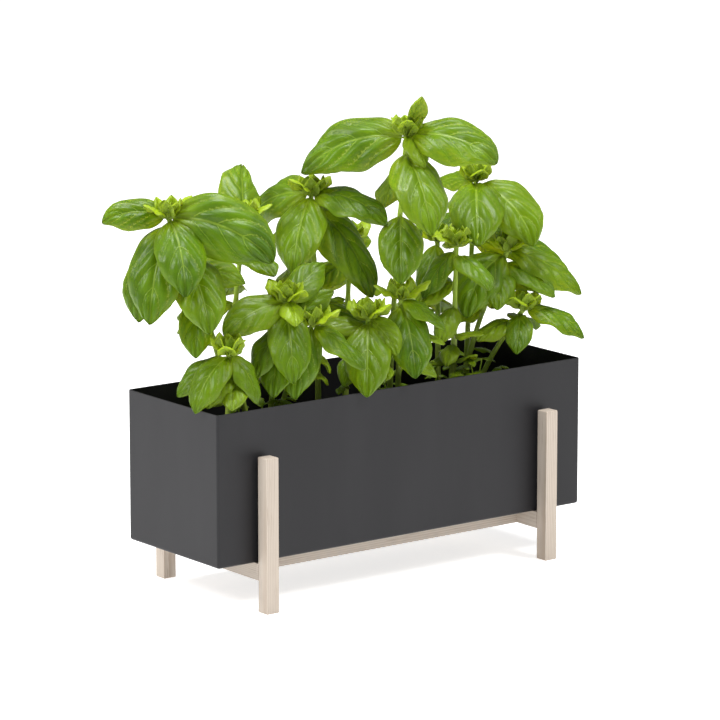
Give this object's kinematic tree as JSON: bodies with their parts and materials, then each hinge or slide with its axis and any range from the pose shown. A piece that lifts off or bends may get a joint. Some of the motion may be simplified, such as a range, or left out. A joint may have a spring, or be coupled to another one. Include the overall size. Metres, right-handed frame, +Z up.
{
  "type": "indoor herb planter",
  "caption": "Long sheet-metal herb box with an open top, resting on rails between square wooden legs, with nursery pots of leafy basil standing in it.",
  "frame": {"origin": "on the floor, under the middle of the stand and the box", "axes": "+X along the box to the right as seen from its front, +Y from front to back, +Z up"},
  "size_m": [0.523, 0.2249, 0.4587],
  "materials": {
    "box": "matte",
    "wood": "matte",
    "dowel": "matte",
    "pot": "satin",
    "soil": "matte",
    "stem": "satin",
    "leaf": "satin"
  },
  "bodies": {
    "stand": {"cross_rail_left": "wood", "cross_rail_right": "wood", "leg_back_left": "wood", "leg_back_right": "wood", "leg_dowels": "dowel", "leg_front_left": "wood", "leg_front_right": "wood", "long_rail_back": "wood", "long_rail_front": "wood", "rail_dowels": "dowel"},
    "box": {"planter_box": "box"},
    "left_pot": {"pot_left": "pot", "soil_left": "soil", "left_back_leaves": "leaf", "left_back_stem": "stem", "left_front_leaves": "leaf", "left_front_stem": "stem", "left_low_leaves": "leaf", "left_low_stem": "stem", "left_side_leaves": "leaf", "left_side_stem": "stem", "left_tall_leaves": "leaf", "left_tall_stem": "stem"},
    "middle_pot": {"pot_middle": "pot", "soil_middle": "soil", "middle_back_leaves": "leaf", "middle_back_stem": "stem", "middle_front_leaves": "leaf", "middle_front_stem": "stem", "middle_low_leaves": "leaf", "middle_low_stem": "stem", "middle_rear_leaves": "leaf", "middle_rear_stem": "stem", "middle_tall_leaves": "leaf", "middle_tall_stem": "stem"},
    "right_pot": {"pot_right": "pot", "soil_right": "soil", "right_back_leaves": "leaf", "right_back_stem": "stem", "right_inner_leaves": "leaf", "right_inner_stem": "stem", "right_low_leaves": "leaf", "right_low_stem": "stem", "right_outer_leaves": "leaf", "right_outer_stem": "stem", "right_rear_leaves": "leaf", "right_rear_stem": "stem"}
  },
  "joints": [
    {"name": "box_lift", "type": "slide", "parent": "stand", "child": "box", "axis": [0, 0, 1], "range_m": [0, 0.11]},
    {"name": "left_pot_lift", "type": "slide", "parent": "box", "child": "left_pot", "axis": [0, 0, 1], "range_m": [0, 0.15]},
    {"name": "middle_pot_lift", "type": "slide", "parent": "box", "child": "middle_pot", "axis": [0, 0, 1], "range_m": [0, 0.15]},
    {"name": "right_pot_lift", "type": "slide", "parent": "box", "child": "right_pot", "axis": [0, 0, 1], "range_m": [0, 0.15]}
  ]
}
